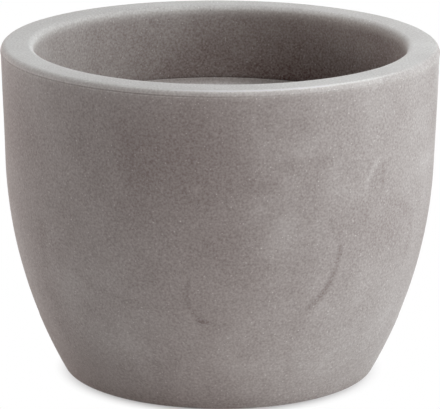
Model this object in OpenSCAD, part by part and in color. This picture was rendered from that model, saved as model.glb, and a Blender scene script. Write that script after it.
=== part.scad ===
// Round concrete bowl planter: a cast bowl with a lift-out planting shelf on an inner ledge,
// a rubber drain plug and rubber foot pads. Millimetres, +Z up.
// The origin is on the floor, in the middle of the planter.

/* [Bowl outside] */
// Outer diameter of the rim, without the parting line
rim_d = 400; // [370:5:460]
// Height of the cast bowl, from its underside to the rim's top
bowl_h = 305; // [280:5:360]
// Diameter of the underside, before its corner is rounded
base_d = 285; // [240:5:320]
// Height above the underside at which the upright wall starts to curve in
shoulder_h = 197; // [160:1:220]
// Lean of the upright wall from the vertical, in degrees
wall_lean = 1.8; // [0.6:0.2:3]
// Radius of the underside's corner
base_corner_r = 5; // [2:0.5:12]

/* [Rim] */
// Thickness of the wall at the rim
rim_t = 30; // [24:1:38]
// Radius of the rim's outer edge
rim_outer_r = 5.5; // [3:0.5:8]
// Radius of the rim's inner edge
rim_inner_r = 6; // [3:0.5:8]
// How far the mould's parting line stands out of the wall
parting_proud = 0.4; // [0.2:0.1:0.8]
// Height of the parting line
parting_h = 1.6; // [1:0.2:3]

/* [Bowl inside] */
// Thickness of the base
base_t = 28; // [20:1:40]
// Width of the ledge that carries the shelf
ledge_w = 9; // [6:0.5:14]
// Radius of the corner between the hollow's wall and the base
hollow_corner_r = 20; // [8:1:30]
// Diameter of the drain hole in the base
drain_d = 28; // [20:1:36]

/* [Planting shelf] */
// Depth of the shelf's top below the rim's top
planting_depth = 76; // [50:1:110]
// Thickness of the shelf
shelf_t = 18; // [14:1:28]
// Gap between the shelf's edge and the bowl's wall
shelf_gap = 1; // [0.5:0.1:2]
// Radius of the cove at the shelf's edge
cove_r = 6; // [3:0.5:12]
// Width of the upturned edge's top
upturn_w = 1.5; // [1:0.1:4]
// Diameter of the finger hole in the middle
finger_hole_d = 32; // [24:1:38]
// Diameter of the small drain holes
weep_hole_d = 16; // [8:1:22]
// Number of small drain holes
weep_hole_count = 6; // [3:1:10]
// Diameter of the circle that they lie on
weep_ring_d = 200; // [120:5:260]
// Bevel round the shelf's holes
hole_bevel = 1.5; // [0.5:0.1:2.5]

/* [Drain plug] */
// Gap between the plug's stem and the drain hole
plug_gap = 0.3; // [0.2:0.05:0.6]
// How far the plug's stem stops above the bowl's underside
plug_short = 4; // [2:0.5:8]
// How far the plug's flange laps over the base, beyond the drain hole
flange_lap = 8; // [5:0.5:14]
// Thickness of the flange
flange_t = 4; // [3:0.5:6]
// Diameter of the plug's neck
neck_d = 11; // [8:0.5:14]
// Height of the neck
neck_h = 9; // [6:0.5:14]
// Diameter of the knob that fingers pull
knob_d = 22; // [18:0.5:28]
// Thickness of the knob
knob_t = 7; // [5:0.5:10]

/* [Foot pads] */
// Number of foot pads
pad_count = 4; // [3:1:6]
// Diameter of a foot pad
pad_d = 32; // [20:1:44]
// Thickness of a foot pad
pad_t = 3; // [2:0.5:6]
// Distance between a pad's edge and the edge of the flat underside
pad_inset = 9; // [4:1:20]

/* [Hidden] */
$fn = 96;

// Finest step of the curves in the outlines, in degrees
bend_step = 6;
// Straight pieces that the belly's long curve is drawn with, outside and inside
belly_steps = 24;
hollow_steps = 16;
// Rounding of the small rubber parts' edges
rubber_edge_r = 1;
// Taper of the plug's stem on its radius
stem_taper = 1.5;
// How far the cuts run past the faces that they open
over = 1;

concrete = "#9c9491";
shelf_concrete = "#a09b97";
rubber = "#2b2b2d";

// Levels, from the floor up
base_z = pad_t;
rim_z = base_z + bowl_h;
edge_z = rim_z - rim_outer_r;
shoulder_z = base_z + shoulder_h;
hollow_z = base_z + base_t;
shelf_top_z = rim_z - planting_depth;
ledge_z = shelf_top_z - shelf_t;

// The belly is an arc that leaves the upright wall smoothly and meets the corner of the underside
rim_r = rim_d / 2;
lean = tan(wall_lean);
shoulder_r = rim_r - (edge_z - shoulder_z) * lean;
corner_in = base_d / 2 - shoulder_r;
corner_lean = corner_in * cos(wall_lean) + shoulder_h * sin(wall_lean);
belly_r = -(corner_in * corner_in + shoulder_h * shoulder_h) / (2 * corner_lean);
belly_x = shoulder_r - belly_r * cos(wall_lean);
belly_z = shoulder_z + belly_r * sin(wall_lean);

// Where the rounded corner of the underside touches the underside
corner_z = base_z + base_corner_r;
flat_r = belly_x + sqrt(pow(belly_r - base_corner_r, 2) - pow(belly_z - corner_z, 2));
corner_turn = atan2(corner_z - belly_z, flat_r - belly_x);

// Radius of the bowl's outside at a height z above its rounded corner
function outside_r(z) = z >= shoulder_z
    ? rim_r - (edge_z - z) * lean
    : belly_x + sqrt(pow(belly_r, 2) - pow(z - belly_z, 2));

// Radius of the planting space's wall, which leans as the outside does
function inside_r(z) = rim_r - rim_t - (edge_z - z) * lean;

ledge_outer_r = inside_r(ledge_z);
ledge_inner_r = ledge_outer_r - ledge_w;
hollow_wall_t = outside_r(ledge_z) - ledge_inner_r;

// The hollow's wall follows the outside, and rounds into the base
hollow_lean = asin((belly_z - hollow_z - hollow_corner_r) / (belly_r - hollow_corner_r));
hollow_bend_z = hollow_z + hollow_corner_r * (1 - sin(hollow_lean));
hollow_bend_r = outside_r(hollow_bend_z) - hollow_wall_t;
hollow_corner_x = hollow_bend_r - hollow_corner_r * cos(hollow_lean);

pad_ring_r = flat_r - pad_inset - pad_d / 2;

// Points of an arc round (x, y), from angle a to angle b
function arc(x, y, r, a, b) =
    let (n = max(2, ceil(abs(b - a) / bend_step)))
    [for (i = [0:n]) let (t = a + (b - a) * i / n) [x + r * cos(t), y + r * sin(t)]];

// The belly, from the rounded corner up to the upright wall
function belly_points() =
    [for (i = [1:belly_steps])
        let (t = corner_turn + (-wall_lean - corner_turn) * i / belly_steps)
        [belly_x + belly_r * cos(t), belly_z + belly_r * sin(t)]];

// The hollow's wall, from the ledge down to its bottom corner
function hollow_points() =
    [for (i = [0:hollow_steps])
        let (z = ledge_z + (hollow_bend_z - ledge_z) * i / hollow_steps)
        [outside_r(z) - hollow_wall_t, z]];

// A raised line round the wall, half an ellipse in section
function parting_points() =
    [for (i = [0:6])
        let (t = -90 + 30 * i)
        [rim_r + parting_proud * cos(t), edge_z - parting_h / 2 + parting_h / 2 * sin(t)]];

module bowl() {
    rim_in_r = inside_r(rim_z - rim_inner_r);
    color(concrete)
    rotate_extrude($fn = 180)
    polygon(concat(
        [[drain_d / 2, base_z]],
        arc(flat_r, corner_z, base_corner_r, -90, corner_turn),
        belly_points(),
        parting_points(),
        arc(rim_r - rim_outer_r, edge_z, rim_outer_r, 0, 90),
        arc(rim_in_r + rim_inner_r, rim_z - rim_inner_r, rim_inner_r, 90, 180),
        [[ledge_outer_r, ledge_z]],
        hollow_points(),
        arc(hollow_corner_x, hollow_z + hollow_corner_r, hollow_corner_r, -hollow_lean, -90),
        [[drain_d / 2, hollow_z]]
    ));
}

module planting_shelf() {
    edge_low_r = ledge_outer_r - shelf_gap;
    upturn_z = shelf_top_z + cove_r;
    edge_top_r = inside_r(upturn_z) - shelf_gap;
    cove_x = edge_top_r - upturn_w - cove_r;
    hole_r = finger_hole_d / 2;
    color(shelf_concrete)
    difference() {
        rotate_extrude($fn = 180)
        polygon(concat(
            [[hole_r + hole_bevel, ledge_z], [edge_low_r, ledge_z]],
            [[edge_top_r, upturn_z]],
            arc(cove_x, upturn_z, cove_r, 0, -90),
            [[hole_r + hole_bevel, shelf_top_z], [hole_r, shelf_top_z - hole_bevel]],
            [[hole_r, ledge_z + hole_bevel]]
        ));
        for (i = [0:weep_hole_count - 1])
            rotate([0, 0, 360 / weep_hole_count * i])
            translate([weep_ring_d / 2, 0, 0])
            weep_hole();
    }
}

// One drain hole of the shelf, with a bevel at its top
module weep_hole() {
    translate([0, 0, ledge_z - over])
    cylinder(d = weep_hole_d, h = shelf_t + 2 * over, $fn = 48);
    translate([0, 0, shelf_top_z - hole_bevel])
    cylinder(d1 = weep_hole_d, d2 = weep_hole_d + 2 * (hole_bevel + over), h = hole_bevel + over, $fn = 48);
}

module drain_plug() {
    stem_r = drain_d / 2 - plug_gap;
    flange_r = drain_d / 2 + flange_lap;
    flange_z = hollow_z + flange_t;
    knob_z = flange_z + neck_h;
    knob_edge_r = knob_t / 2;
    color(rubber)
    rotate_extrude()
    polygon(concat(
        [[0, base_z + plug_short]],
        arc(stem_r - stem_taper - rubber_edge_r, base_z + plug_short + rubber_edge_r, rubber_edge_r, -90, 0),
        [[stem_r, hollow_z]],
        [[flange_r, hollow_z]],
        arc(flange_r - rubber_edge_r, flange_z - rubber_edge_r, rubber_edge_r, 0, 90),
        arc(neck_d / 2 + 2 * rubber_edge_r, flange_z + 2 * rubber_edge_r, 2 * rubber_edge_r, 270, 180),
        [[neck_d / 2, knob_z]],
        arc(knob_d / 2 - knob_edge_r, knob_z + knob_edge_r, knob_edge_r, -90, 90),
        [[0, knob_z + knob_t]]
    ));
}

// One round pad, glued to the flat underside
module foot_pad(i) {
    color(rubber)
    rotate([0, 0, 360 / pad_count * (i - 0.5)])
    translate([pad_ring_r, 0, 0])
    rotate_extrude()
    polygon(concat(
        [[0, 0]],
        arc(pad_d / 2 - rubber_edge_r, rubber_edge_r, rubber_edge_r, -90, 0),
        [[pad_d / 2, pad_t], [0, pad_t]]
    ));
}

bowl();
planting_shelf();
drain_plug();
for (i = [1:pad_count])
    foot_pad(i);
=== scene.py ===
"""Looks of a round cast-concrete bowl planter with a lift-out planting shelf.

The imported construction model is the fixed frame. Each piece is worked out again as a fine surface in
the same place, and dressed as cast concrete or moulded rubber. Lengths are in metres unless a comment
says otherwise. An azimuth is in degrees, 0 on the viewer's side and 90 on the photograph's right.
"""

from __future__ import annotations

import logging
import math
from collections.abc import Sequence
from dataclasses import dataclass
from enum import Enum

import bpy
import numpy as np
from bpy.types import ID, Material, Mesh, Node, NodeSocket as Socket, NodeTree as Tree, Object
from mathutils import Color, Matrix, Vector


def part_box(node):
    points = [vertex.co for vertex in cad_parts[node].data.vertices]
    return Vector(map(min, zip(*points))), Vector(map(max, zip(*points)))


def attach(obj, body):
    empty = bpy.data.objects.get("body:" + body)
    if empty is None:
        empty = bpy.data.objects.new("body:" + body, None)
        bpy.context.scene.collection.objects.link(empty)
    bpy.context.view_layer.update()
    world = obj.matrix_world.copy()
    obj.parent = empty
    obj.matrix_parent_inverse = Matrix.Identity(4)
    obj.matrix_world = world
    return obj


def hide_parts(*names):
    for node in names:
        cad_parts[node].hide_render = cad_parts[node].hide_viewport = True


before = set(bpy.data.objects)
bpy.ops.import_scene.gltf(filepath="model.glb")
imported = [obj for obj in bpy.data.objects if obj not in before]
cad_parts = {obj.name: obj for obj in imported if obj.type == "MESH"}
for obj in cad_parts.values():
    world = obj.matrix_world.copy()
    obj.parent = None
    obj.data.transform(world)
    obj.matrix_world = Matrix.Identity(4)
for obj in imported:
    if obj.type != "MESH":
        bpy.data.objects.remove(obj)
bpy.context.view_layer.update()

MM = 0.001
SMOOTH_UP_TO = math.radians(40)
Array = np.ndarray
log = logging.getLogger("planter")


class Body(Enum):
    """Rigid bodies of the construction model."""

    POT = "pot"
    SHELF = "shelf"
    PLUG = "plug"


class Slot(Enum):
    """Material slots of the record."""

    BOWL = "cast_concrete"
    SHELF = "shelf_concrete"
    PLUG = "plug_rubber"
    PAD = "pad_rubber"


# ---- shapes


class SmoothNoise:
    """Gradient noise in space, the same on each run for one seed.

    Each corner of a cubic lattice holds a random direction. The value at a point is the dot product
    of each of its cell's eight directions with the offset from that corner, blended with the curve
    6t^5 - 15t^4 + 10t^3.
    """

    # Cells after which the pattern repeats
    PERIOD = 256

    def __init__(self, seed: int) -> None:
        """Draw the table of directions.

        Args:
            seed: Number that picks the pattern.
        """
        rng = np.random.default_rng(seed)
        self.order = np.tile(rng.permutation(self.PERIOD), 3)
        directions = rng.normal(size=(self.PERIOD, 3))
        self.directions = directions / np.linalg.norm(directions, axis=1)[:, None]

    def at(self, points: Array, size: float) -> Array:
        """Work out the noise at many points at once.

        Args:
            points: Places, as an array whose last axis is x, y, z.
            size: Edge of a lattice cell, in metres.

        Returns:
            Values of about -0.6 to 0.6, one for each point.
        """
        place = points / size
        cell = np.floor(place).astype(int)
        offset = place - cell
        ease = offset**3 * (offset * (offset * 6 - 15) + 10)
        total = np.zeros(points.shape[:-1])
        for corner in np.ndindex(2, 2, 2):
            step = np.array(corner)
            x, y, z = np.moveaxis((cell + step) % self.PERIOD, -1, 0)
            direction = self.directions[self.order[self.order[self.order[x] + y] + z]]
            weight = np.prod(np.where(step == 1, ease, 1 - ease), axis=-1)
            total += weight * np.sum(direction * (offset - step), axis=-1)
        return total


def arc(centre: tuple[float, float], radius: float, start: float, end: float, steps: int) -> Array:
    """Points of a circular arc in the plane of radius and height.

    Args:
        centre: Radius and height of the arc's centre.
        radius: Radius of the arc.
        start: First angle, in degrees, 0 pointing outwards and 90 up.
        end: Last angle, in degrees.
        steps: Number of straight pieces.

    Returns:
        An array of steps + 1 rows of radius and height.
    """
    turn = np.radians(np.linspace(start, end, steps + 1))
    return np.stack([centre[0] + radius * np.cos(turn), centre[1] + radius * np.sin(turn)], axis=1)


def finely(points: Array, spacing: float) -> Array:
    """Divide an outline's long straight pieces, and keep all of its own points.

    Args:
        points: Outline as rows of radius and height.
        spacing: Longest piece that is left.

    Returns:
        The outline with points added at even steps along each long piece.
    """
    length = np.linalg.norm(np.diff(points, axis=0), axis=1)
    pieces = np.maximum(1, np.ceil(length / spacing - 1e-6).astype(int))
    place = np.concatenate([np.arange(n) / n + i for i, n in enumerate(pieces)] + [[len(pieces)]])
    index = np.arange(len(points))
    return np.stack([np.interp(place, index, points[:, k]) for k in (0, 1)], axis=1)


def outline_normals(points: Array) -> Array:
    """Directions square to an outline that runs with the solid on its left.

    Args:
        points: Outline as rows of radius and height.

    Returns:
        One unit vector of radius and height for each point, pointing out of the solid.
    """
    along = np.gradient(points, axis=0)
    outward = np.stack([along[:, 1], -along[:, 0]], axis=1)
    return outward / np.maximum(np.linalg.norm(outward, axis=1), 1e-12)[:, None]


def turned(rows: Array, steps: int) -> Array:
    """Carry rows of radius and height round the Z axis.

    The row (r, z) becomes (r cos a, r sin a, z) at each of the even steps of the angle a.

    Args:
        rows: Rows of radius and height, as places or as directions.
        steps: Number of steps in a full turn.

    Returns:
        A grid, steps by rows by 3.
    """
    angle = np.linspace(0, 2 * math.pi, steps, endpoint=False)[:, None]
    flat = np.stack([np.cos(angle), np.sin(angle)], axis=-1) * rows[None, :, 0, None]
    height = np.broadcast_to(rows[None, :, 1, None], flat.shape[:2] + (1,))
    return np.concatenate([flat, height], axis=-1)


def soften(mesh: Mesh) -> None:
    """Shade a mesh smoothly, apart from its sharp corners.

    Args:
        mesh: Mesh that is changed.
    """
    mesh.polygons.foreach_set("use_smooth", np.ones(len(mesh.polygons), bool))
    mesh.set_sharp_from_angle(angle=SMOOTH_UP_TO)
    mesh.update()


def mesh_from_grid(name: str, grid: Array, closed: bool) -> Mesh:
    """Make a mesh of a turned grid, with its faces pointing out.

    Args:
        name: Name of the mesh.
        grid: Places, steps by points by 3, in the order of the outline.
        closed: True if the outline comes back to its start. False if its two ends lie on the axis,
            where one vertex each closes the surface.

    Returns:
        The new mesh.
    """
    ring = grid if closed else grid[:, 1:-1]
    steps, count = ring.shape[:2]
    here = np.arange(steps)[:, None]
    after = (here + 1) % steps
    i = np.arange(count if closed else count - 1)[None, :]
    j = (i + 1) % count
    quads = np.stack([here * count + i, after * count + i, after * count + j, here * count + j], axis=-1)
    places, faces = ring.reshape(-1, 3), quads.reshape(-1, 4).tolist()
    if not closed:
        low, high = steps * count, steps * count + 1
        turn, next_turn = here[:, 0] * count, after[:, 0] * count
        foot = np.stack([np.full(steps, low), next_turn, turn], axis=-1)
        head = np.stack([np.full(steps, high), turn + count - 1, next_turn + count - 1], axis=-1)
        places = np.concatenate([places, grid[0, :1], grid[0, -1:]])
        faces += foot.tolist() + head.tolist()
    mesh = bpy.data.meshes.new(name)
    mesh.from_pydata(places, [], faces)
    soften(mesh)
    return mesh


def set_wear_and_painted_light(mesh: Mesh, shade: Array) -> None:
    """Give each vertex the attribute that the concrete adds to its shade: real wear, and painted light and
    painted shade.
    """
    wear_and_painted_light = mesh.attributes.new("wear_and_painted_light", "FLOAT", "POINT")
    wear_and_painted_light.data.foreach_set("value", shade.ravel().astype(np.float32))


def add_object(name: str, data: ID) -> Object:
    """Make an object and put it into the scene.

    Args:
        name: Name of the object.
        data: Its mesh, camera or light.

    Returns:
        The new object, at the origin.
    """
    item = bpy.data.objects.new(name, data)
    bpy.context.scene.collection.objects.link(item)
    return item


def add_piece(name: str, mesh: Mesh, finish: Material, body: Body, slot: Slot, *nodes: str) -> Object:
    """Put a finished mesh into the scene in place of its construction nodes.

    Args:
        name: Name of the piece.
        mesh: Mesh with its place in its vertices.
        finish: Material of the whole piece.
        body: Body that it moves with.
        slot: Slot of the record that it takes its finish from. Not used.
        nodes: Construction nodes that it stands for.

    Returns:
        The new object.
    """
    piece = add_object(name, mesh)
    mesh.materials.clear()
    mesh.materials.append(finish)
    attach(piece, body.value)
    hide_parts(*nodes)
    return piece


# ---- finishes


def to_linear(colour: str) -> tuple[float, ...]:
    """Turn an sRGB hex colour into linear red, green and blue, and an alpha of 1."""
    coded = Color([part / 255 for part in bytes.fromhex(colour[1:])])
    return *coded.from_srgb_to_scene_linear(), 1.0


def add_node(tree: Tree, kind: str, inputs: dict | None = None, settings: dict | None = None) -> Node:
    """Add a shader node with what goes into it and its settings.

    Args:
        tree: Node tree that gets the node.
        kind: Blender's name of the node type, without its first words ShaderNode.
        inputs: What each input takes, by name or number: a value, or the socket of another node.
        settings: Values of the node's own properties.

    Returns:
        The new node.
    """
    node = tree.nodes.new("ShaderNode" + kind)
    for name, value in (settings or {}).items():
        setattr(node, name, value)
    for name, value in (inputs or {}).items():
        if isinstance(value, Socket):
            tree.links.new(value, node.inputs[name])
        else:
            node.inputs[name].default_value = value
    return node


def start_material(name: str) -> tuple[Material, Tree, Socket]:
    """Start a material with an empty node tree.

    Args:
        name: Name of the material.

    Returns:
        The material, its tree, and the place on the object in metres.
    """
    material = bpy.data.materials.new(name)
    material.use_nodes = True
    tree = material.node_tree
    tree.nodes.clear()
    return material, tree, add_node(tree, "TexCoord").outputs["Object"]


def remap(tree: Tree, value: Socket, source: tuple, target: tuple, kind: str = "LINEAR") -> Socket:
    """Map one range of values on another, and hold them inside it."""
    inputs = {0: value, 1: source[0], 2: source[1], 3: target[0], 4: target[1]}
    return add_node(tree, "MapRange", inputs, {"interpolation_type": kind}).outputs[0]


def blend(tree: Tree, share: Socket, low: Socket | tuple, high: Socket | tuple) -> Socket:
    """Mix two colours, the first at a share of 0 and the second at 1, and go on a little beyond them."""
    settings = {"data_type": "RGBA", "clamp_factor": False, "clamp_result": True}
    return add_node(tree, "Mix", {0: share, 6: low, 7: high}, settings).outputs[2]


def calculate(tree: Tree, operation: str, *values: Socket | float) -> Socket:
    """Add a Math node."""
    return add_node(tree, "Math", dict(enumerate(values)), {"operation": operation}).outputs[0]


def on_vectors(tree: Tree, operation: str, inputs: dict, result: str = "Vector") -> Socket:
    """Add a Vector Math node."""
    return add_node(tree, "VectorMath", inputs, {"operation": operation}).outputs[result]


def sees_background(tree: Tree) -> Socket:
    """Tell the rays that show the white background from those that light the planter.

    Args:
        tree: Tree that gets the test.

    Returns:
        1 for the camera's rays and for mirrored and refracted ones, and 0 for the rest.
    """
    rays = add_node(tree, "LightPath").outputs
    either = calculate(tree, "MAXIMUM", rays["Is Camera Ray"], rays["Is Glossy Ray"])
    return calculate(tree, "MAXIMUM", either, rays["Is Transmission Ray"])


@dataclass(frozen=True)
class Patches:
    """Light and dark patches without order, of a width in millimetres.

    Their weight is how far they move a shade. They have a number of ever finer layers, and wind
    about themselves by their twist.
    """

    width: float
    weight: float = 1
    layers: int = 1
    twist: float = 0

    def add(self, tree: Tree, place: Socket) -> Socket:
        """Add the pattern, 0.5 in the mean. Each cell of the noise holds a light and a dark patch."""
        inputs = {"Vector": place, "Scale": 0.5 / (self.width * MM), "Detail": self.layers}
        return add_node(tree, "TexNoise", inputs | {"Distortion": self.twist}).outputs["Fac"]


@dataclass(frozen=True)
class Dots:
    """Round dots of mixed sizes, one in some cells of a random lattice.

    The cells' spacing and the largest dot's radius are in millimetres. The share is that of the
    cells with a dot.
    """

    spacing: float
    radius: float
    share: float

    def add(self, tree: Tree, place: Socket) -> Socket:
        """Add the dots.

        Args:
            tree: The material's tree.
            place: Place on the object, in metres.

        Returns:
            1 inside a dot and 0 outside.
        """
        lattice = add_node(tree, "TexVoronoi", {"Vector": place, "Scale": 1 / (self.spacing * MM)})
        draw = add_node(tree, "SeparateColor", {"Color": lattice.outputs["Color"]}).outputs[0]
        reach = remap(tree, draw, (1 - self.share, 1.0), (0.0, self.radius / self.spacing))
        return calculate(tree, "LESS_THAN", lattice.outputs["Distance"], reach)


@dataclass(frozen=True)
class Smear:
    """A soft mark that handling or the mould left on the bowl's outer wall.

    Its route runs through places given as azimuth and height above the floor. That height and the
    mark's width are in millimetres. Its tone is what it adds to the shade, below 0 for a dark mark.
    """

    route: tuple[tuple[float, float], ...]
    width: float
    tone: float

    def add(self, tree: Tree, place: Socket, bowl: Bowl) -> Socket:
        """Add the mark, which fades with the distance from its route.

        The foot of a point p on the piece from a to b is a + t (b - a), where t is
        (p - a).(b - a) / |b - a|^2 kept between 0 and 1.

        Args:
            tree: The material's tree.
            place: Place on the object, in metres.
            bowl: The bowl that has the mark.

        Returns:
            1 on the route, falling smoothly to 0 at half the width from it.
        """
        route = [bowl.on_wall(*point) for point in self.route]
        gaps = []
        for start, end in zip(route, route[1:]):
            along = end - start
            offset = on_vectors(tree, "SUBTRACT", {0: place, 1: start})
            share = on_vectors(tree, "DOT_PRODUCT", {0: offset, 1: along / along.length_squared}, "Value")
            kept = add_node(tree, "Clamp", {"Value": share}).outputs[0]
            foot = on_vectors(tree, "SCALE", {0: along, "Scale": kept})
            gaps.append(on_vectors(tree, "DISTANCE", {0: offset, 1: foot}, "Value"))
        nearest = gaps[0]
        for gap in gaps[1:]:
            nearest = calculate(tree, "MINIMUM", nearest, gap)
        return remap(tree, nearest, (0.0, self.width / 2 * MM), (1.0, 0.0), "SMOOTHSTEP")


@dataclass(frozen=True)
class CastConcrete:
    """Sand and cement cast in a smooth mould.

    It looks matt and warm grey, with soft clouds where the cement skin is richer, a fine sandy
    grain, a few pinholes from trapped air, edges that are paler partly with wear and partly with
    painted light, and painted shade in the planting space. Sizes are in millimetres.
    """

    name: str = "concrete, cast"
    dark: str = "#867873"
    pale: str = "#dbd9d4"
    pit: str = "#6d6765"
    roughness: tuple[float, float] = (0.78, 0.94)
    diffuse_roughness: float = 0.35
    ior: float = 1.5
    clouds: Patches = Patches(60, 0.45, layers=4, twist=0.6)
    mottle: Patches = Patches(14, 0.25, layers=3, twist=0.3)
    # Real sand grains of 0.2 to 0.5 mm are too fine to show, so these are coarser
    grain: Patches = Patches(0.95, 0.8)
    # Pale sand grains, and how far they lift the shade
    speck: Dots = Dots(2.6, 0.6, 0.45)
    speck_shade: float = 0.5
    # Pinholes
    pore: Dots = Dots(9, 0.55, 0.28)
    # Depth of the relief
    mottle_relief: float = 0.10
    grain_relief: float = 0.035
    pore_relief: float = 0.35
    # The rings of a trowel: their spacing, how far they move the shade, and how they waver
    trowel: tuple[float, float, float] = (14, 0, 3)

    def material(self, smears: Sequence[Smear] = (), bowl: Bowl | None = None) -> Material:
        """Build the material.

        The shade runs from dark at 0 to pale at 1. It is 0.5, plus each pattern's distance from 0.5
        times its weight, plus what the pale grains, the marks and the vertex attribute of real wear,
        painted light and painted shade add.

        Args:
            smears: Marks on the piece.
            bowl: The bowl, where it has marks.

        Returns:
            The material, which reads Object coordinates and the vertex attribute of wear and painted light.
        """
        material, tree, place = start_material(self.name)
        patches = self.clouds, self.mottle, self.grain
        weighed = [(pattern.add(tree, place), pattern.weight) for pattern in patches]
        mottle, grain = weighed[1][0], weighed[2][0]
        spacing, weight, waver = self.trowel
        if weight:
            # At a scale of 1 the node's rings are a tenth of pi apart
            size = {"Vector": place, "Scale": 0.1 * math.pi / (spacing * MM), "Distortion": waver}
            rings = {"wave_type": "RINGS", "rings_direction": "Z"}
            weighed.append((add_node(tree, "TexWave", size, rings).outputs["Fac"], weight))
        shade: Socket | float = 0.5 - 0.5 * sum(weight for _, weight in weighed)
        for pattern, weight in weighed:
            shade = calculate(tree, "MULTIPLY_ADD", pattern, weight, shade)
        shade = calculate(tree, "MULTIPLY_ADD", self.speck.add(tree, place), self.speck_shade, shade)
        for smear in smears:
            # The mottling, 0.5 in the mean, frays the marks
            frayed = calculate(tree, "MULTIPLY", smear.add(tree, place, bowl), mottle)
            shade = calculate(tree, "MULTIPLY_ADD", frayed, 2 * smear.tone, shade)
        # The vertex attribute adds real wear, and painted light and painted shade, to the shade
        wear_and_painted_light = add_node(tree, "Attribute", settings={"attribute_name": "wear_and_painted_light"}).outputs["Fac"]
        shade = calculate(tree, "ADD", shade, wear_and_painted_light)
        skin = blend(tree, shade, to_linear(self.dark), to_linear(self.pale))
        pinhole = self.pore.add(tree, place)
        colour = blend(tree, pinhole, skin, to_linear(self.pit))
        relief: Socket | float = 0.0
        depths = (mottle, self.mottle_relief), (grain, self.grain_relief), (pinhole, -self.pore_relief)
        for pattern, depth in depths:
            relief = calculate(tree, "MULTIPLY_ADD", pattern, depth * MM, relief)
        bump = {"Distance": 1.0, "Height": relief}
        inputs = {
            "Base Color": colour,
            "Roughness": remap(tree, mottle, (0.0, 1.0), self.roughness),
            "IOR": self.ior,
            "Diffuse Roughness": self.diffuse_roughness,
            "Normal": add_node(tree, "Bump", bump).outputs[0],
        }
        shader = add_node(tree, "BsdfPrincipled", inputs).outputs[0]
        add_node(tree, "OutputMaterial", {"Surface": shader})
        return material


@dataclass(frozen=True)
class MouldedRubber:
    """Black rubber pressed in a satin mould: nearly matt, with a faint grey bloom. Sizes in millimetres."""

    name: str = "rubber, moulded"
    colour: str = "#2a2a2c"
    bloom: str = "#4b4a49"
    roughness: tuple[float, float] = (0.52, 0.77)
    ior: float = 1.52
    # The bloom's patches, where it sets in and where it is strongest in them, and its share there
    dust: Patches = Patches(6, layers=5)
    bloom_span: tuple[float, float] = (0.42, 0.8)
    bloom_share: float = 0.7
    grain: Patches = Patches(0.5, layers=2)
    grain_relief: float = 0.02

    def material(self) -> Material:
        """Build the material.

        Returns:
            The material, which reads Object coordinates.
        """
        material, tree, place = start_material(self.name)
        dust = self.dust.add(tree, place)
        share = remap(tree, dust, self.bloom_span, (0.0, self.bloom_share))
        grain = self.grain.add(tree, place)
        bump = {"Distance": self.grain_relief * MM, "Height": grain}
        inputs = {
            "Base Color": blend(tree, share, to_linear(self.colour), to_linear(self.bloom)),
            "Roughness": remap(tree, dust, (0.0, 1.0), self.roughness),
            "IOR": self.ior,
            "Normal": add_node(tree, "Bump", bump).outputs[0],
        }
        shader = add_node(tree, "BsdfPrincipled", inputs).outputs[0]
        add_node(tree, "OutputMaterial", {"Surface": shader})
        return material


@dataclass(frozen=True)
class StudioPaint:
    """White studio paint. It takes the planter's shadow, and further off the camera sees plain white.

    The radii are where that begins and where it is complete, in metres.
    """

    name: str = "studio paint, rolled"
    colour: str = "#ededed"
    roughness: float = 0.9
    shadow_radius: float = 0.118
    white_radius: float = 0.155

    def material(self) -> Material:
        """Build the material.

        Returns:
            The material, which reads Object coordinates.
        """
        material, tree, place = start_material(self.name)
        radius = on_vectors(tree, "LENGTH", {0: place}, "Value")
        far = remap(tree, radius, (self.shadow_radius, self.white_radius), (0.0, 1.0), "SMOOTHSTEP")
        share = calculate(tree, "MULTIPLY", far, sees_background(tree))
        look = {"Color": to_linear(self.colour), "Roughness": self.roughness}
        paint = add_node(tree, "BsdfDiffuse", look).outputs[0]
        white = add_node(tree, "Emission").outputs[0]
        mixed = add_node(tree, "MixShader", {0: share, 1: paint, 2: white}).outputs[0]
        # From below the floor can't be seen, so that the planter's underside can
        under = add_node(tree, "NewGeometry").outputs["Backfacing"]
        clear = add_node(tree, "BsdfTransparent").outputs[0]
        seen = add_node(tree, "MixShader", {0: under, 1: mixed, 2: clear}).outputs[0]
        add_node(tree, "OutputMaterial", {"Surface": seen})
        return material


# ---- pieces


@dataclass(frozen=True)
class Around:
    """An amount that is whole at one azimuth and falls to nothing opposite it, over an even share."""

    amount: float
    azimuth: float
    power: float = 1
    even: float = 0

    def at(self, azimuth: Array) -> Array:
        """Work out even + amount ((1 + cos(azimuth - middle)) / 2)^power, for azimuths in radians."""
        turn = azimuth - math.radians(self.azimuth)
        return self.even + self.amount * ((1 + np.cos(turn)) / 2) ** self.power


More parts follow.
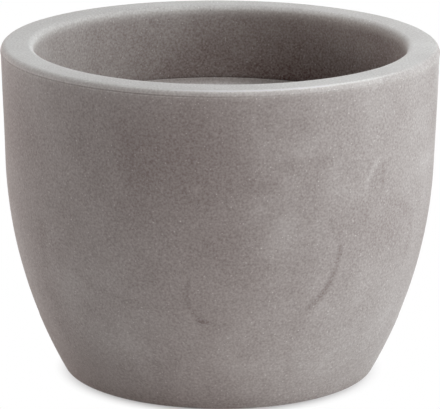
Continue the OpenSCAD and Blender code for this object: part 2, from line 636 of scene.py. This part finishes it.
@dataclass(frozen=True)
class BowlWearAndPaintedLight:
    """Where the bowl's concrete is made paler or darker, with real wear and with painted light and shade.

    The rim and its edges are paler, partly with wear from hands and partly with painted light and
    painted highlights. The planting space is darker with painted shade and the rim's painted shadow,
    and the foot is darker towards the floor. Paler amounts add to the concrete's shade, and darker
    ones take from it.
    """

    # The rim, paler partly with wear and partly with painted light, most in front, and the painted light
    # that its left adds
    rim: Around = Around(0.22, 20, even=0.36)
    rim_left: Around = Around(0.14, -92, 8)
    # The rim's outer edge, paler with painted light where the lamps leave it darker and partly with
    #     wear, how fast that takes over as the edge bends down, and the share of the edge's height where it
    #     ends
    outer_edge: Around = Around(0.75, -30, 2)
    outer_edge_gain: float = 1.4
    outer_edge_end: float = 0.92
    # The rim's inner edge, paler most at the back, partly with wear and partly as a painted highlight, and
    # the depths at which and over which that ends
    inner_edge: float = 0.7
    inner_edge_side: Around = Around(1, 175, 2)
    inner_edge_end: float = 10.4 * MM
    inner_edge_fade: float = 8 * MM
    # The crest of the outer edge, a pale line that is partly wear and partly a painted highlight, brightest
    # in front, and where it lies as shares of the edge's radius, in and down
    crest: Around = Around(0.9, 12, 10)
    crest_reach: float = 1.3 * MM
    crest_place: tuple[float, float] = (0.5, 0.14)
    # The mould's parting line, painted paler to lift the shade under its bead, and the wall below it,
    # painted lighter in front where the rim's shade falls
    parting: float = 0.18
    parting_reach: float = 1.12 * MM
    shoulder: Around = Around(0.09, 0, 1.5)
    shoulder_reach: float = 26 * MM
    # Darkening towards the foot, and painted shade in the planting space below the rim, deepest on the
    # right
    foot_darkening: float = 0.1
    foot_reach: float = 16 * MM
    inner_painted_shade: Around = Around(0.2, 110, even=0.04)
    inner_shade_fade: float = 8 * MM
    # Painted shadow of the rim on the inner wall, deepest at the back right: the depth at which it starts,
    # and how much deeper it is whole
    rim_shadow: Around = Around(0.392, 150, 5)
    rim_shadow_depth: float = 20 * MM
    rim_shadow_reach: float = 53.2 * MM

    def shade(self, bowl: Bowl, outline: Array) -> Array:
        """Work out what wear, painted light and painted shade add to the shade at each vertex of the turned
        outline.

        The crest and the parting line add their amounts times exp(-(distance / reach)^2). The wall's
        painted light falls off evenly down from the parting line, the darkening up from the foot, the
        painted shade up to the inner edge, and the painted shadow up from the shelf.

        Args:
            bowl: The bowl that is worn.
            outline: Its outline, as rows of radius and height.

        Returns:
            A shade from about -0.7 to 1.4, turns by points.
        """
        azimuth = np.linspace(0, 2 * math.pi, bowl.turns, endpoint=False)[:, None] + math.pi / 2
        radius, height = outline[:, 0], outline[:, 1]
        sunk = bowl.rim_z - height
        flat = self.rim.at(azimuth) + self.rim_left.at(azimuth)
        round_in = (radius - bowl.rim_radius + bowl.rim_outer) / bowl.rim_outer
        edge = flat + (self.outer_edge.at(azimuth) - flat) * np.clip(self.outer_edge_gain * round_in, 0, 1)
        line = np.array([bowl.rim_radius, bowl.edge_z - bowl.parting_height / 2])
        shoulder = self.shoulder.at(azimuth) * np.clip(1 - (line[1] - height) / self.shoulder_reach, 0, 1)
        outside = np.where(sunk < self.outer_edge_end * bowl.rim_outer, edge, 0)
        outside = outside + np.where(sunk > bowl.rim_outer, shoulder, 0)
        turn_in = np.clip((bowl.inside(bowl.rim_z) + bowl.rim_inner - radius) / bowl.rim_inner, 0, 1)
        lip = flat + (self.inner_edge - flat) * self.inner_edge_side.at(azimuth) * turn_in
        lip = lip * np.clip((self.inner_edge_end - sunk) / self.inner_edge_fade, 0, 1)
        # Painted shade in the planting space, deepest on the right, and the rim's painted shadow on its
        # wall
        inner_shading = self.inner_painted_shade.at(azimuth) * np.clip((sunk - bowl.rim_inner) / self.inner_shade_fade, 0, 1)
        rim_shadow = self.rim_shadow.at(azimuth) * np.clip((sunk - self.rim_shadow_depth) / self.rim_shadow_reach, 0, 1)
        inside = lip - inner_shading - rim_shadow
        # Darker towards the foot
        foot = self.foot_darkening * np.clip(1 - (height - bowl.base_z) / self.foot_reach, 0, 1)
        total = np.where(bowl.outside(height) - radius < bowl.rim_thickness / 2, outside, inside) - foot
        crest = np.array([bowl.rim_radius, bowl.rim_z]) - bowl.rim_outer * np.array(self.crest_place)
        humps = (crest, self.crest.at(azimuth), self.crest_reach), (line, self.parting, self.parting_reach)
        for middle, amount, reach in humps:
            gap = np.linalg.norm(outline - middle, axis=1)
            total = total + amount * np.exp(-((gap / reach) ** 2))
        return total


@dataclass
class Bowl:
    """The cast bowl: upright wall, belly, rounded rim, inner ledge, hollow and base with its drain hole."""

    rim_radius: float = 200 * MM
    base_radius: float = 142.5 * MM
    shoulder_height: float = 197 * MM
    wall_lean: float = 1.8
    base_corner: float = 5 * MM
    rim_thickness: float = 30 * MM
    rim_outer: float = 5.5 * MM
    rim_inner: float = 6 * MM
    parting_proud: float = 0.4 * MM
    parting_height: float = 1.6 * MM
    base_thickness: float = 28 * MM
    ledge_width: float = 9 * MM
    hollow_corner: float = 20 * MM
    drain_radius: float = 14 * MM
    small_round: float = 1.2 * MM
    # The hand-filled mould's unevenness: depth and width of its long and its short waves
    long_wave: tuple[float, float] = (0.35 * MM, 90 * MM)
    short_wave: tuple[float, float] = (0.12 * MM, 22 * MM)
    # Height over which the unevenness sets in above the underside, and how far from the ledge it starts
    true_foot: float = 20 * MM
    true_ledge: float = 0.5 * MM
    # Real wear, and painted light and painted shade, that the concrete's shade takes from the vertices
    painted_light_and_wear: BowlWearAndPaintedLight = BowlWearAndPaintedLight()
    # Longest straight piece of the outline where it shows, in the hollow and under the base
    spacing: float = 3.2 * MM
    hollow_spacing: float = 8 * MM
    base_spacing: float = 12 * MM
    turns: int = 320

    def __post_init__(self) -> None:
        """Take the levels above the floor from the construction model, and work out the belly's arc."""
        low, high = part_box("bowl")
        self.base_z, self.rim_z = low.z, high.z
        self.ledge_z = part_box("planting_shelf")[0].z
        self.edge_z = self.rim_z - self.rim_outer
        self.shoulder_z = self.base_z + self.shoulder_height
        self.hollow_z = self.base_z + self.base_thickness
        lean = math.radians(self.wall_lean)
        self.slope = math.tan(lean)
        shoulder_r = self.rim_radius - (self.edge_z - self.shoulder_z) * self.slope
        inset = self.base_radius - shoulder_r
        across = inset * math.cos(lean) + self.shoulder_height * math.sin(lean)
        self.belly_r = -(inset**2 + self.shoulder_height**2) / (2 * across)
        self.belly_x = shoulder_r - self.belly_r * math.cos(lean)
        self.belly_z = self.shoulder_z + self.belly_r * math.sin(lean)

    def outside(self, z: Array | float) -> Array:
        """Radius of the outside above the base's corner: a leaning line, and below it the belly's arc."""
        belly = self.belly_x + np.sqrt(self.belly_r**2 - (z - self.belly_z) ** 2)
        return np.where(z >= self.shoulder_z, self.rim_radius - (self.edge_z - z) * self.slope, belly)

    def inside(self, z: float) -> float:
        """Radius of the planting space's wall, which leans as the outside does."""
        return self.rim_radius - self.rim_thickness - (self.edge_z - z) * self.slope

    def on_wall(self, azimuth: float, height: float) -> Vector:
        """Find the place on the outer wall at an azimuth and a height in millimetres above the floor."""
        turn, radius = math.radians(azimuth), float(self.outside(height * MM))
        return Vector((radius * math.sin(turn), -radius * math.cos(turn), height * MM))

    def outline(self) -> Array:
        """Draw the outline, from the drain hole's foot out, up, over the rim and back.

        Returns:
            Rows of radius and height, of which the last is next to the first.
        """
        corner_z = self.base_z + self.base_corner
        reach = self.belly_r - self.base_corner
        flat_r = self.belly_x + math.sqrt(reach**2 - (self.belly_z - corner_z) ** 2)
        corner_turn = math.degrees(math.atan2(corner_z - self.belly_z, flat_r - self.belly_x))
        small = self.small_round
        foot = arc((self.drain_radius + small, self.base_z + small), small, 180, 270, 4)
        corner = arc((flat_r, corner_z), self.base_corner, -90, corner_turn, 8)
        belly = arc((self.belly_x, self.belly_z), self.belly_r, corner_turn, -self.wall_lean, 60)[1:]
        bead = arc((0, 0), 1, -90, 90, 8) * [self.parting_proud, self.parting_height / 2]
        parting = bead + [self.rim_radius, self.edge_z - self.parting_height / 2]
        rim_out = arc((self.rim_radius - self.rim_outer, self.edge_z), self.rim_outer, 0, 90, 10)[1:]
        rim_in_z = self.rim_z - self.rim_inner
        rim_in = arc((self.inside(rim_in_z) + self.rim_inner, rim_in_z), self.rim_inner, 90, 180, 10)
        corner_in = np.array([[self.inside(self.ledge_z), self.ledge_z]])
        ledge_in = corner_in[0, 0] - self.ledge_width
        ledge = arc((ledge_in + small, self.ledge_z - small), small, 90, 180, 4)
        wall = self.outside(self.ledge_z) - ledge_in
        bend = self.hollow_corner
        lean = math.asin((self.belly_z - self.hollow_z - bend) / (self.belly_r - bend))
        bend_z = self.hollow_z + bend * (1 - math.sin(lean))
        heights = np.linspace(self.ledge_z - 2 * small, bend_z, 20)
        hollow = np.stack([self.outside(heights) - wall, heights], axis=1)
        bend_x = hollow[-1, 0] - bend * math.cos(lean)
        cove = arc((bend_x, self.hollow_z + bend), bend, -math.degrees(lean), -90, 8)[1:]
        mouth = arc((self.drain_radius + small, self.hollow_z - small), small, 90, 180, 4)
        underside = np.concatenate([foot, corner[:1]])
        seen = np.concatenate([corner, belly, parting, rim_out, rim_in, corner_in])
        hidden = np.concatenate([corner_in, ledge, hollow, cove, mouth])
        stretches = (underside, self.base_spacing), (seen, self.spacing), (hidden, self.hollow_spacing)
        divided = [finely(points, spacing)[:-1] for points, spacing in stretches]
        return np.concatenate([*divided, hidden[-1:]])

    def build(self, finish: Material) -> Object:
        """Make the bowl's surface with the slight unevenness of a hand-filled mould.

        Each point moves inwards, against its outward direction, by smooth noise of two sizes. The
        underside, the ledge and the drain hole stay true, because other pieces meet them.

        Args:
            finish: Material of the casting.

        Returns:
            The bowl's object.
        """
        outline = self.outline()
        grid = turned(outline, self.turns)
        outward = turned(outline_normals(outline), self.turns)
        unevenness = SmoothNoise(seed=11)
        waves = (self.long_wave, self.short_wave)
        inward = sum(depth * np.clip(0.5 + unevenness.at(grid, width), 0, 1) for depth, width in waves)
        radius, height = outline[:, 0], outline[:, 1]
        free = np.clip((height - self.base_z) / self.true_foot, 0, 1)
        free = np.where(radius < self.inside(self.ledge_z) + self.true_ledge, 0, free)
        mesh = mesh_from_grid("bowl_casting", grid - outward * (inward * free)[..., None], closed=True)
        # Paler rim and edges, partly wear and partly painted light, and painted shade in the planting space
        set_wear_and_painted_light(mesh, self.painted_light_and_wear.shade(self, outline))
        return add_piece("bowl_casting", mesh, finish, Body.POT, Slot.BOWL, "bowl")


@dataclass
class PlantingShelf:
    """The lift-out shelf with its coved, upturned edge, finger hole and drain holes."""

    thickness: float = 18 * MM
    edge_gap: float = 1 * MM
    cove: float = 6 * MM
    upturn: float = 1.5 * MM
    finger_radius: float = 16 * MM
    drain_radius: float = 8 * MM
    drain_ring: float = 100 * MM
    drain_count: int = 6
    hole_round: float = 1.5 * MM
    edge_round: float = 1 * MM
    # Depth and width of the trowel's waves, and how near the top a vertex has to be to take part
    trowel_wave: tuple[float, float] = (0.15 * MM, 45 * MM)
    skin: float = 0.2 * MM
    # How far painted shadow, where the bowl's wall shades the shelf, lowers the shade at the edge, most at
    # the back, and how far in it reaches
    edge_shadow: Around = Around(0.55, 180, 4, even=0.2)
    edge_shadow_reach: float = 7 * MM
    spacing: float = 4 * MM
    turns: int = 300
    hole_turns: int = 40

    def outline(self, bowl: Bowl) -> Array:
        """Draw the outline, from the finger hole's foot out, up the edge, and back over the top.

        Args:
            bowl: The bowl that carries the shelf.

        Returns:
            Rows of radius and height, of which the last is next to the first.
        """
        low, high = bowl.ledge_z, bowl.ledge_z + self.thickness
        top = high + self.cove
        edge_low = bowl.inside(low) - self.edge_gap
        edge_top = bowl.inside(top) - self.edge_gap
        lip = self.upturn / 2
        hole, bend = self.finger_radius, self.hole_round
        points = np.concatenate(
            [
                arc((hole + bend, low + bend), bend, 180, 270, 5),
                arc((edge_low - self.edge_round, low + self.edge_round), self.edge_round, -90, 0, 5),
                arc((edge_top - lip, top - lip), lip, 0, 180, 8),
                arc((edge_top - self.upturn - self.cove, top), self.cove, -8, -90, 9),
                arc((hole + bend, high - bend), bend, 90, 180, 6),
            ]
        )
        return finely(points, self.spacing)

    def drain_cutter(self, index: int, low: float) -> Object:
        """Make the tool that cuts one drain hole, flared so that the hole's mouth is rounded.

        Args:
            index: Number of the hole, counted from the X axis.
            low: Height of the shelf's underside.

        Returns:
            A closed solid of revolution, a little longer than the hole.
        """
        over, bend, high = 1 * MM, self.hole_round, low + self.thickness
        # The flare ends just above the top
        flare = arc((self.drain_radius + bend, high - bend + self.trowel_wave[0]), bend, 180, 100, 6)
        foot = [[0, low - over], [self.drain_radius, low - over]]
        head = [[flare[-1, 0] + over, high + over], [0, high + over]]
        turn = 2 * math.pi * index / self.drain_count
        centre = [self.drain_ring * math.cos(turn), self.drain_ring * math.sin(turn), 0]
        grid = turned(np.concatenate([foot, flare, head]), self.hole_turns) + centre
        return add_object("drain_cutter", mesh_from_grid("drain_cutter", grid, closed=False))

    def build(self, bowl: Bowl, finish: Material) -> Object:
        """Make the shelf, with a faintly waved trowelled top, and cut its drain holes.

        Args:
            bowl: The bowl that carries it.
            finish: Material of the shelf.

        Returns:
            The shelf's object.
        """
        low, high = bowl.ledge_z, bowl.ledge_z + self.thickness
        grid = turned(self.outline(bowl), self.turns)
        depth, width = self.trowel_wave
        upper = np.clip((grid[..., 2] - high + self.skin) / self.skin, 0, 1)
        grid[..., 2] -= upper * depth * np.clip(0.5 + SmoothNoise(seed=5).at(grid, width), 0, 1)
        blank = add_object("shelf_blank", mesh_from_grid("shelf_blank", grid, closed=True))
        cutters = [self.drain_cutter(i, low) for i in range(self.drain_count)]
        for cutter in cutters:
            cut = blank.modifiers.new("drain", "BOOLEAN")
            cut.operation, cut.solver, cut.object = "DIFFERENCE", "EXACT", cutter
        mesh = bpy.data.meshes.new_from_object(blank.evaluated_get(bpy.context.evaluated_depsgraph_get()))
        for tool in [blank, *cutters]:
            bpy.data.meshes.remove(tool.data)
        soften(mesh)
        places = np.empty(3 * len(mesh.vertices))
        mesh.vertices.foreach_get("co", places)
        x, y = places[0::3], places[1::3]
        # Painted shadow at the shelf's edge under the bowl's wall, which falls off evenly from there in
        near = np.clip(1 - (bowl.inside(high) - np.hypot(x, y)) / self.edge_shadow_reach, 0, 1)
        set_wear_and_painted_light(mesh, -self.edge_shadow.at(np.arctan2(x, -y)) * near)
        return add_piece("shelf_slab", mesh, finish, Body.SHELF, Slot.SHELF, "planting_shelf")


@dataclass
class DrainPlug:
    """The rubber stopper: tapered stem with two sealing ribs, flange, neck and a round knob to pull."""

    stem_radius: float = 13.7 * MM
    stem_taper: float = 1.5 * MM
    rib_count: int = 2
    rib_proud: float = 0.25 * MM
    rib_sharpness: int = 6
    # Where the ribbed stretch starts and ends, as shares of the stem from its foot
    rib_span: tuple[float, float] = (0.15, 0.97)
    flange_radius: float = 22 * MM
    flange_thickness: float = 4 * MM
    neck_radius: float = 5.5 * MM
    neck_height: float = 9 * MM
    knob_radius: float = 11 * MM
    flash_proud: float = 0.15 * MM
    # Angle, in radians, over which the mould's flash fades
    flash_spread: float = 0.12
    dimple_radius: float = 3 * MM
    dimple_depth: float = 0.5 * MM
    edge_round: float = 1 * MM
    turns: int = 96

    def outline(self, bowl: Bowl) -> Array:
        """Draw the outline from the stem's foot on the axis, out and up to the dimple on the knob's top.

        The stem's ribs are powers of a cosine, and the mould's flash round the knob is a bell curve of
        the angle up from the knob's middle.

        Args:
            bowl: The bowl that the plug stops.

        Returns:
            Rows of radius and height, of which the first and the last are on the axis.
        """
        low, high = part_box("drain_plug")
        seat, bend = bowl.hollow_z, self.edge_round
        flange_z = seat + self.flange_thickness
        knob_z = flange_z + self.neck_height
        knob_r = (high.z - knob_z) / 2
        foot_r = self.stem_radius - self.stem_taper
        share = np.linspace(*self.rib_span, 30)
        wave = np.maximum(0, np.cos(2 * math.pi * self.rib_count * share))
        ribs = self.rib_proud * wave**self.rib_sharpness
        stem_r = foot_r + share * self.stem_taper - self.rib_proud + ribs
        stem = np.stack([stem_r, low.z + bend + share * (seat - low.z - bend)], axis=1)
        round_turn = np.radians(np.linspace(-80, 90, 18))
        flash = np.exp(-((round_turn / self.flash_spread) ** 2))
        knob_reach = knob_r + self.flash_proud * (flash - 1)
        knob_x = self.knob_radius - knob_r + knob_reach * np.cos(round_turn)
        knob = np.stack([knob_x, knob_z + knob_r + knob_reach * np.sin(round_turn)], axis=1)
        inwards = np.linspace(1, 0, 6)
        sunk = self.dimple_depth * (1 - inwards**2)
        dimple = np.stack([self.dimple_radius * inwards, knob[-1, 1] - sunk], axis=1)
        return np.concatenate(
            [
                [[0, low.z]],
                arc((foot_r - bend, low.z + bend), bend, -90, 0, 5),
                stem,
                [[self.stem_radius - self.rib_proud, seat]],
                arc((self.flange_radius - bend / 2, seat + bend / 2), bend / 2, -90, 0, 4),
                arc((self.flange_radius - bend, flange_z - bend), bend, 0, 90, 5),
                arc((self.neck_radius + 2 * bend, flange_z + 2 * bend), 2 * bend, 270, 180, 5),
                arc((self.neck_radius + bend, knob_z - bend), bend, 180, 90, 4),
                knob,
                dimple,
            ]
        )

    def build(self, bowl: Bowl, finish: Material) -> Object:
        """Make the plug in its hole.

        Args:
            bowl: The bowl that it stops.
            finish: Material of the plug.

        Returns:
            The plug's object.
        """
        mesh = mesh_from_grid("plug_stopper", turned(self.outline(bowl), self.turns), closed=False)
        return add_piece("plug_stopper", mesh, finish, Body.PLUG, Slot.PLUG, "drain_plug")


@dataclass
class FootPads:
    """Round rubber pads glued on the underside, each with a moulded groove in its foot."""

    radius: float = 16 * MM
    edge_round: float = 1 * MM
    top_round: float = 0.4 * MM
    groove_radius: float = 9 * MM
    groove_width: float = 1.6 * MM
    groove_depth: float = 0.8 * MM
    turns: int = 72

    def outline(self, height: float) -> Array:
        """Draw the outline from the foot's middle on the axis, out and up to the glued face's middle.

        The groove is half an ellipse.

        Args:
            height: Thickness of the pad.

        Returns:
            Rows of radius and height, of which the first and the last are on the axis.
        """
        reach = np.linspace(-1, 1, 9)
        hollow = self.groove_depth * np.sqrt(1 - reach**2)
        groove = np.stack([self.groove_radius + reach * self.groove_width / 2, hollow], axis=1)
        flat, top = self.radius - self.edge_round, self.top_round
        return np.concatenate(
            [
                [[0, 0], [self.groove_radius / 2, 0]],
                groove,
                arc((flat, self.edge_round), self.edge_round, -90, 0, 6),
                arc((self.radius - top, height - top), top, 0, 90, 3),
                [[flat / 2, height], [0, height]],
            ]
        )

    def build(self, finish: Material) -> list[Object]:
        """Make each pad where its construction node stands.

        Args:
            finish: Material of the pads.

        Returns:
            The pads' objects.
        """
        pads = []
        for node in sorted(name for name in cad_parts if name.startswith("foot_pad_")):
            low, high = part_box(node)
            middle = [(low.x + high.x) / 2, (low.y + high.y) / 2, low.z]
            name = node.replace("foot_pad", "rubber_foot")
            grid = turned(self.outline(high.z - low.z), self.turns) + middle
            mesh = mesh_from_grid(name, grid, closed=False)
            pads.append(add_piece(name, mesh, finish, Body.POT, Slot.PAD, node))
        return pads


# Route, width and tone of each mark on the outer wall
SMEARS = (
    # The long curved streak: its faint upper end, its whole course, and the smudge round its foot
    (((30.2, 184), (33.6, 166)), 18, -0.07),
    (((33.4, 160), (32.8, 146), (31.6, 132), (30.6, 123), (28.5, 114), (25.7, 106)), 10, -0.165),
    (((31.0, 126), (28.5, 114), (25.7, 106), (23.8, 94), (22.4, 86)), 18, -0.09),
    (((21.3, 69), (21.9, 32)), 10, -0.06),
    # The hooked mark with its dark spot
    (((-8.3, 134), (-8.8, 114), (-6.2, 101)), 9, -0.11),
    (((-5.6, 96.5), (-3.7, 95.5)), 9, -0.26),
    # Marks on the left
    (((-54.6, 166), (-55.7, 128)), 20, -0.09),
    (((-42.6, 131), (-34.5, 117), (-24.3, 109), (-17.3, 107)), 16, -0.075),
    # Scrapes on the right
    (((45.1, 235), (41.0, 217), (40.9, 201)), 9, 0.15),
    (((46.9, 228), (47.1, 209)), 7, -0.1),
    (((48.9, 202), (49.2, 200)), 7, 0.25),
    (((53.0, 191), (61.2, 173), (63.0, 152), (61.9, 130)), 18, -0.08),
    # Small soft patches
    (((7.5, 221), (13.9, 222)), 24, -0.1),
    (((16.9, 240), (27.9, 241)), 22, -0.075),
    (((13.0, 164), (16.7, 186)), 34, 0.1),
    (((9.4, 201), (9.8, 200)), 24, 0.1),
    (((-5.8, 220), (-5.6, 219)), 16, 0.125),
    # Broad clouds, dark where the cement skin is rich and pale where it is lean
    (((-22, 250), (-8, 225), (2, 198)), 150, -0.11),
    (((-24, 178), (0, 165)), 80, -0.06),
    (((-76, 250), (-62, 250)), 110, -0.10),
    (((-40, 112), (-14, 70)), 130, 0.045),
    (((-24, 60), (0, 52), (34, 50)), 80, 0.05),
    (((-56, 150), (-54, 104), (-45, 70)), 50, -0.04),
    (((-76, 150), (-70, 100), (-64, 56)), 60, 0.08),
    (((26, 112), (34, 64)), 90, 0.05),
    (((14, 264), (34, 228)), 90, 0.06),
    (((41, 176), (50, 168)), 80, -0.07),
    (((37, 148), (36, 132)), 50, -0.06),
    (((12, 122), (24, 142)), 70, -0.05),
    (((72, 284), (78, 250)), 84, -0.15),
    (((80, 180), (70, 60)), 76, -0.1),
)


# ---- stage


@dataclass(frozen=True)
class PhotoView:
    """The photograph's camera, from a fit of the rim, the outline and the base.

    Its place is in metres, its angles are in degrees and the rest is in pixels of the photograph.
    """

    distance: float = 3.0
    height: float = 0.9456
    look_down: float = 14.765
    roll: float = 0.258
    focal_pixels: float = 3362.0
    picture_width: int = 440
    shift_right: float = 0.5

    def place(self) -> None:
        """Create the camera and make it the scene's own."""
        data = bpy.data.cameras.new("photo_camera")
        data.sensor_fit = "HORIZONTAL"
        data.lens = self.focal_pixels / self.picture_width * data.sensor_width
        data.shift_x = self.shift_right / self.picture_width
        camera = add_object("photo_camera", data)
        tilt = Matrix.Rotation(math.radians(90 - self.look_down), 4, "X")
        roll = Matrix.Rotation(math.radians(self.roll), 4, "Z")
        camera.matrix_world = Matrix.Translation((0, -self.distance, self.height)) @ tilt @ roll
        bpy.context.scene.camera = camera


@dataclass(frozen=True)
class Softbox:
    """A plain square studio light that faces the planter.

    Its elevation is in degrees and its power in watts. Its distance is from its aim on the planter's
    axis, at the height aim_z.
    """

    name: str
    azimuth: float
    elevation: float
    power: float
    tint: tuple[float, float, float]
    distance: float = 1.7
    side: float = 0.8
    aim_z: float = 0.16

    def place(self) -> None:
        """Create the light."""
        data = bpy.data.lights.new(self.name, "AREA")
        data.shape = "SQUARE"
        data.size = self.side
        data.energy = self.power
        data.color = self.tint
        lamp = add_object(self.name, data)
        turn, rise = math.radians(self.azimuth), math.radians(self.elevation)
        level = math.cos(rise)
        away = Vector((math.sin(turn) * level, -math.cos(turn) * level, math.sin(rise)))
        facing = away.to_track_quat("Z", "Y").to_matrix().to_4x4()
        aim = Vector((0, 0, self.aim_z))
        lamp.matrix_world = Matrix.Translation(aim + away * self.distance) @ facing


@dataclass(frozen=True)
class Studio:
    """The pale floor, the white surroundings and the softboxes."""

    floor_radius: float = 6.0
    floor_sides: int = 96
    softboxes: tuple[Softbox, ...] = (
        Softbox("key", 85, 8, 14.2, (0.85, 0.945, 1.0)),
        Softbox("key_front", 30, 8, 6.9, (1.0, 0.85, 0.85)),
        Softbox("top_right", 85, 55, 10.9, (0.95, 0.96, 1.0), side=0.5),
        Softbox("back", 180, 30, 4.8, (0.88, 0.92, 1.0)),
        Softbox("top", 180, 78, 7.4, (0.94, 0.97, 1.0)),
        Softbox("left", -110, 8, 13.8, (1.0, 0.88, 0.88)),
    )

    def lay_floor(self) -> None:
        """Lay a round floor, so that it looks alike from all sides."""
        edge = turned(np.array([[self.floor_radius, 0]]), self.floor_sides)[:, 0]
        mesh = bpy.data.meshes.new("studio_floor")
        mesh.from_pydata(edge, [], [list(range(self.floor_sides))])
        mesh.materials.append(StudioPaint().material())
        floor = add_object("studio_floor", mesh)

    def surround(self) -> None:
        """Show plain white all round, without lighting the planter."""
        world = bpy.data.worlds.new("studio")
        bpy.context.scene.world = world
        world.use_nodes = True
        tree = world.node_tree
        tree.nodes.clear()
        look = {"Color": (1.0, 1.0, 1.0, 1.0), "Strength": sees_background(tree)}
        white = add_node(tree, "Background", look).outputs[0]
        add_node(tree, "OutputWorld", {"Surface": white})

    def build(self) -> None:
        """Set up the floor, the surroundings, the lights and the view."""
        self.lay_floor()
        self.surround()
        for softbox in self.softboxes:
            softbox.place()
        bpy.context.scene.view_settings.view_transform = "Standard"


def main() -> None:
    """Build and dress the planter, report its pieces, then set the camera and light it."""
    logging.basicConfig(level=logging.INFO, format="%(name)s: %(message)s")
    bowl = Bowl()
    # Trowelling closes the skin, which leaves it paler and smoother, with faint rings; the paler colours
    # are also partly painted light on the shelf deep in the bowl
    trowelled = CastConcrete(
        name="concrete, trowelled",
        dark="#bdb6b1",
        pale="#f8f5f2",
        roughness=(0.72, 0.88),
        clouds=Patches(50, 0.3, layers=4, twist=0.6),
        pore=Dots(7, 0.55, 0.28),
        trowel=(11, 0.07, 3),
    )
    pieces = [
        bowl.build(CastConcrete().material([Smear(*row) for row in SMEARS], bowl)),
        PlantingShelf().build(bowl, trowelled.material()),
        DrainPlug().build(bowl, MouldedRubber().material()),
        *FootPads().build(MouldedRubber(name="rubber, moulded, foot", colour="#262628").material()),
    ]
    for piece in pieces:
        log.info("%s: %d faces", piece.name, len(piece.data.polygons))
    PhotoView().place()
    Studio().build()


if __name__ == "__main__":
    main()
